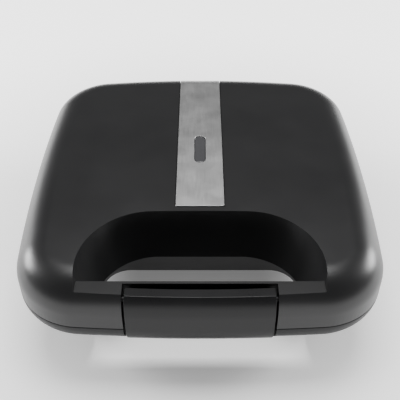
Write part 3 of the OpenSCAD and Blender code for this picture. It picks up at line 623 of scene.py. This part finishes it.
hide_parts("lid_shell")
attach(lid, "lid")

# ------------------------------------------------------------------ base
cavity = from_rings("cavity", base_rings(WALL, 1.0, 8, 12))
boolean(cavity, [base_grip(WALL),
                 block("keep_pocket", -POCKET_X - WALL, POCKET_X + WALL, -HALF_D - 1, BAR_Y, -BASE_H, 1)])
base = from_rings("base_skin", base_rings())
boolean(base, cavity)
boolean(base, [base_grip(0), block("pocket", -POCKET_X, POCKET_X, -HALF_D - 2, BASE_POCKET_Y, -BASE_H, 1)])
clean(base)
round_edges(base, BASE_EDGE)
for x0, length in BASE_KNUCKLES:
    add_knuckle(base, x0, length, HALF_D - WALL - 1, -BARREL_R, -SEAM / 2)
boolean(base, rod("gland_tube", (GLAND_X, HALF_D - 15, GLAND_Z), "y", GLAND_TUBE_R, 14), "UNION")
cuts = [
    rod("gland_hole", (GLAND_X, HALF_D - 18, GLAND_Z), "y", GLAND_HOLE_R, 23),
    rod("bore_l", (-76, HINGE_Y, 0), "x", HINGE_BORE_R, 32),
    rod("bore_r", (44, HINGE_Y, 0), "x", HINGE_BORE_R, 32),
    rod("bore_m", (-15, HINGE_Y, 0), "x", SLEEVE_BORE_R, 15),
    rod("wire_hole", (-WIRE_X, HINGE_Y - WIRE_HOLE_L, -WIRE_Z), "y", WIRE_HOLE_R, WIRE_HOLE_L),
]
foot_x, foot_y = corner_x + 8.7, corner_y - 1.5
for sx in (-1, 1):
    for sy in (-1, 1):
        cuts.append(rod("foot_hole", (sx * foot_x, sy * foot_y, -BASE_H - 1), "z", 3, 5))
for k in range(-VENTS_EACH_SIDE, VENTS_EACH_SIDE + 1):
    slot = []
    for j in range(24):
        a = 2 * math.pi * j / 24
        end_y = VENT_Y1 if math.sin(a) >= 0 else VENT_Y0
        slot.append((k * VENT_PITCH + VENT_R * math.cos(a), end_y + VENT_R * math.sin(a)))
    cuts.append(prism("vent", slot, -BASE_H - 1, -BASE_H + WALL + 1))
boolean(base, cuts)
boolean(base, block("catch", -LATCH_X + 10, LATCH_X - 10, BASE_POCKET_Y - 2.5, BASE_POCKET_Y + 0.5, -8, -5),
        "UNION")
clean(base, 0.01)
smooth_surfaces(base, [from_rings("base_reference", base_rings())])
paint(base, M["base"])
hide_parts("base_shell")
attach(base, "base")

# ------------------------------------------------------------------ latch
def whole(inset):
    """Both shells' outer form in one skin, moved in by inset."""
    return from_rings("whole", base_rings(inset) + lid_rings(inset)[1:])


latch = whole(-PROUD)
latch.name = "latch_skin"
boolean(latch, whole(LATCH_T - PROUD))
front = []
for cx, cz, r, a0 in ((LATCH_X - LATCH_R, LATCH_R - LATCH_DROP, LATCH_R, -90),
                      (LATCH_X - LATCH_TOP_R, LEDGE_Z - LATCH_TOP_R, LATCH_TOP_R, 0),
                      (-LATCH_X + LATCH_TOP_R, LEDGE_Z - LATCH_TOP_R, LATCH_TOP_R, 90),
                      (-LATCH_X + LATCH_R, LATCH_R - LATCH_DROP, LATCH_R, 180)):
    for k in range(9):
        a = math.radians(a0 + 90 * k / 8)
        front.append((cx + r * math.cos(a), cz + r * math.sin(a)))
boolean(latch, from_rings("front", [[(x, y, z) for x, z in front] for y in (-HALF_D - 5, BAR_Y)]),
        "INTERSECT")
clean(latch)
round_edges(latch, LATCH_EDGE)
boolean(latch, [rod("barrel", (-LATCH_X + 6, PIN_Y, PIN_Z), "x", LATCH_BARREL_R, 2 * LATCH_X - 12)]
        + [block("web", x, x + 6, -HALF_D + 3.2, -HALF_D + 7.2, PIN_Z - 2.5, PIN_Z + 2.5)
           for x in (-36.5, -3, 30.5)]
        + [block("hook", -LATCH_X + 12, LATCH_X - 12, -HALF_D + 4.5, BASE_POCKET_Y - 0.9, -10.9, -8.4)],
        "UNION")
boolean(latch, rod("bore", (-60, PIN_Y, PIN_Z), "x", PIN_BORE_R, 120, 32))
clean(latch, 0.01)
smooth_surfaces(latch, [whole(-PROUD)])
paint(latch, M["latch"])
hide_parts("latch")
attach(latch, "latch")

# ------------------------------------------------------------------ trim strip and lens
outer_line = clip(over_the_top(section(0.0)), STRIP_Y0, STRIP_Z0)
inner_line = clip(over_the_top(section(STRIP_T)), STRIP_Y0, STRIP_Z0)
stations = [-STRIP_W / 2 + STRIP_W * k / (STRIP_STATIONS - 1) for k in range(STRIP_STATIONS)]
strip = from_rings("trim_skin", [[(x, y, z) for y, z in inner_line + outer_line[::-1]] for x in stations])
boolean(strip, prism("lens_hole", pill(LENS_GAP), 10, 50))
clean(strip)
soften(strip, STRIP_EDGE, 25)
paint(strip, M["strip"])
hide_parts("trim_strip")
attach(strip, "lid")

rings = [[(x, y, z) for x, y in pill(0)] for z in (LID_H - 3.3, LID_H - LENS_SHOULDER)]
for k in range(1, 7):
    a = math.pi / 2 * k / 6
    rings.append([(x, y, LID_H - LENS_SHOULDER + LENS_DOME * math.sin(a))
                  for x, y in pill(-1.1 * (1 - math.cos(a)))])
rings.append([(x, y, LID_H - 0.1) for x, y in pill(-2.2)])
lens = from_rings("lens_skin", rings)
boolean(lens, block("flange", -LENS_W / 2 - 2, LENS_W / 2 + 2, LENS_Y - LENS_L / 2 - 2,
                    LENS_Y + LENS_L / 2 + 2, LID_H - 4, LID_H - 2.7), "UNION")
clean(lens)
shade_smooth(lens.data)
lens.modifiers.new("normals", "WEIGHTED_NORMAL")
paint(lens, M["lens"])
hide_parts("indicator_lens")
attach(lens, "lid")

# ------------------------------------------------------------------ feet
foot_turns = [2 * math.pi * k / FOOT_STEPS for k in range(FOOT_STEPS)]
for nm, sx, sy in (("front_left", -1, -1), ("front_right", 1, -1),
                   ("rear_left", -1, 1), ("rear_right", 1, 1)):
    foot = from_rings("rubber_foot_" + nm, [
        [(sx * foot_x + r * math.cos(a), sy * foot_y + r * math.sin(a), -PART_Z + h) for a in foot_turns]
        for r, h in FOOT_PROFILE])
    shade_smooth(foot.data)
    foot.modifiers.new("normals", "WEIGHTED_NORMAL")
    paint(foot, M["rubber"])
    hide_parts("foot_" + nm)
    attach(foot, "base")

# ------------------------------------------------------------------ frame screws
HEAD_R, HEAD_H, SHANK_R, SHANK_L, PANEL_Z = 3.0, 1.1, 1.5, 9.0, 1.5
PLATE_Y0, PLATE_Y1 = -HALF_D + 72, HALF_D - 26
FRAME_SCREWS = [(HALF_W - 9.5, PLATE_Y1 - 36), (HALF_W - 9.5, PLATE_Y0 + 22), (corner_x + 11, -corner_y - 15)]


def frame_screw(x, y, up):
    """A pan head screw whose shank points up (up = 1) or down (up = -1) from the frame panel."""
    steps = 48
    outline_rh = [(HEAD_R * math.sin(a), HEAD_H * (0.3 - math.cos(a)) / 1.3 - 0.25)
                  for a in (math.pi / 2 * k / 6 for k in range(1, 7))]
    outline_rh += [(HEAD_R, 0.0), (SHANK_R, 0.0)]
    for k in range(12):
        h = 0.6 + (SHANK_L - 1.2) * k / 12
        outline_rh += [(SHANK_R - 0.25, h), (SHANK_R, h + 0.3)]
    outline_rh.append((SHANK_R - 0.6, SHANK_L))
    turns = [2 * math.pi * k / steps for k in range(steps)]
    rings = [[(x + r * math.cos(a), y + r * math.sin(a), up * (PANEL_Z + max(h, -HEAD_H))) for a in turns]
             for r, h in outline_rh]
    screw = from_rings("screw", rings)
    low, high = sorted((up * (PANEL_Z - HEAD_H - 0.5), up * (PANEL_Z - 0.35)))
    for half_a, half_b in ((1.6, 0.35), (0.35, 1.6)):
        boolean(screw, block("recess", x - half_a, x + half_a, y - half_b, y + half_b, low, high))
    return screw


for body, up in (("lid", 1), ("base", -1)):
    screws = [frame_screw(side * x, y, up) for x, y in FRAME_SCREWS for side in (-1, 1)]
    with bpy.context.temp_override(active_object=screws[0], selected_editable_objects=screws):
        bpy.ops.object.join()
    group = screws[0]
    group.name = body + "_screw_set"
    soften(group, 0.12, 35, 2)
    paint(group, M["zinc"])
    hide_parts(body + "_frame_screws")
    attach(group, body)

# ------------------------------------------------------------------ CAD nodes that keep their own mesh
LOOKS = {
    "base_frame": ("inner", 0.25), "lid_frame": ("inner", 0.25),
    "lower_grill_plate": ("nonstick", 0.7), "upper_grill_plate": ("nonstick", 0.7),
    "lower_heating_element": ("element", 0), "upper_heating_element": ("element", 0),
    "lower_element_clamps": ("sheet", 0.15), "upper_element_clamps": ("sheet", 0.15),
    "lower_heat_reflector": ("sheet", 0.15), "upper_heat_reflector": ("sheet", 0.15),
    "base_thermostat": ("ceramic", 0.3), "lid_thermostat": ("ceramic", 0.3),
    "terminal_block": ("white", 0.4), "base_wiring": ("wire_blue", 0), "lid_wiring": ("wire_red", 0),
    "cord_gland": ("rubber", 0.4), "hinge_pin_left": ("pin", 0.25), "hinge_pin_right": ("pin", 0.25),
    "hinge_wire_sleeve": ("sleeve", 0), "lamp_holder": ("white", 0.3), "power_lamp": ("lamp_red", 0.3),
    "ready_lamp": ("lamp_green", 0.3), "thermal_fuse": ("sheet", 0.2), "latch_pin": ("black_pin", 0.2),
    "lower_plate_screws": ("zinc", 0.2), "upper_plate_screws": ("zinc", 0.2),
}
for name, (look, width) in LOOKS.items():
    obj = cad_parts[name]
    for s in obj.material_slots:
        s.material = M[look]
    if not obj.material_slots:
        obj.data.materials.append(M[look])
    weld = obj.modifiers.new("weld", "WELD")
    weld.merge_threshold = WELD * MM
    if width:
        add_bevel(obj, width, 32)
        obj.modifiers.new("normals", "WEIGHTED_NORMAL")

# ------------------------------------------------------------------ stage
fm = bpy.data.meshes.new("floor")
fm.from_pydata([(x * FLOOR_HALF, y * FLOOR_HALF, 0) for x, y in ((-1, -1), (1, -1), (1, 1), (-1, 1))],
               [], [(0, 1, 2, 3)])
floor = bpy.data.objects.new("floor", fm)
bpy.context.scene.collection.objects.link(floor)
floor_with_painted_shadow = material("floor_paint_with_painted_shadow", (0.87, 0.87, 0.87), (0.89, 0.89, 0.89), 0.8, 0.03, grain=4, bump=0.02,
                 blotch=200, Emission_Strength=1.0, Specular_IOR_Level=0.2)
tree = floor_with_painted_shadow.node_tree
# painted shadow: the floor's glow falls off towards its middle, where the press stands
place_node = node(tree, "ShaderNodeTexCoord")
distance = node(tree, "ShaderNodeVectorMath", operation="LENGTH")
painted_shadow_glow = node(tree, "ShaderNodeMapRange", interpolation_type="SMOOTHSTEP")
painted_shadow_glow.inputs["From Min"].default_value = GLOW_FROM
painted_shadow_glow.inputs["From Max"].default_value = GLOW_TO
painted_shadow_glow.inputs["To Min"].default_value = PAINTED_SHADOW_GLOW
painted_shadow_glow.inputs["To Max"].default_value = GLOW_FAR
tree.links.new(place_node.outputs["Object"], distance.inputs[0])
tree.links.new(distance.outputs["Value"], painted_shadow_glow.inputs["Value"])
tree.links.new(painted_shadow_glow.outputs["Result"], tree.nodes["Principled BSDF"].inputs["Emission Color"])
paint(floor, floor_with_painted_shadow)

world = bpy.data.worlds.new("studio")
world.use_nodes = True
world.node_tree.nodes["Background"].inputs["Color"].default_value = (1, 1, 1, 1)
world.node_tree.nodes["Background"].inputs["Strength"].default_value = WORLD_STRENGTH
bpy.context.scene.world = world


def area(name, at, target, size, size_y, power):
    data = bpy.data.lights.new(name, "AREA")
    data.shape = "RECTANGLE"
    data.size, data.size_y, data.energy = size, size_y, power
    obj = bpy.data.objects.new(name, data)
    obj.location = at
    obj.rotation_euler = (Vector(target) - Vector(at)).to_track_quat("-Z", "Y").to_euler()
    bpy.context.scene.collection.objects.link(obj)


area("overhead", (0, 0.35, 1.8), (0, 0, 0), 1.2, 0.8, OVERHEAD_W)
for side in (-1, 1):
    area("corner_light", (side * 1.1, 0.35, 0.35), (side * 0.08, -0.05, 0.05), 0.4, 0.3, CORNER_LIGHT_W)
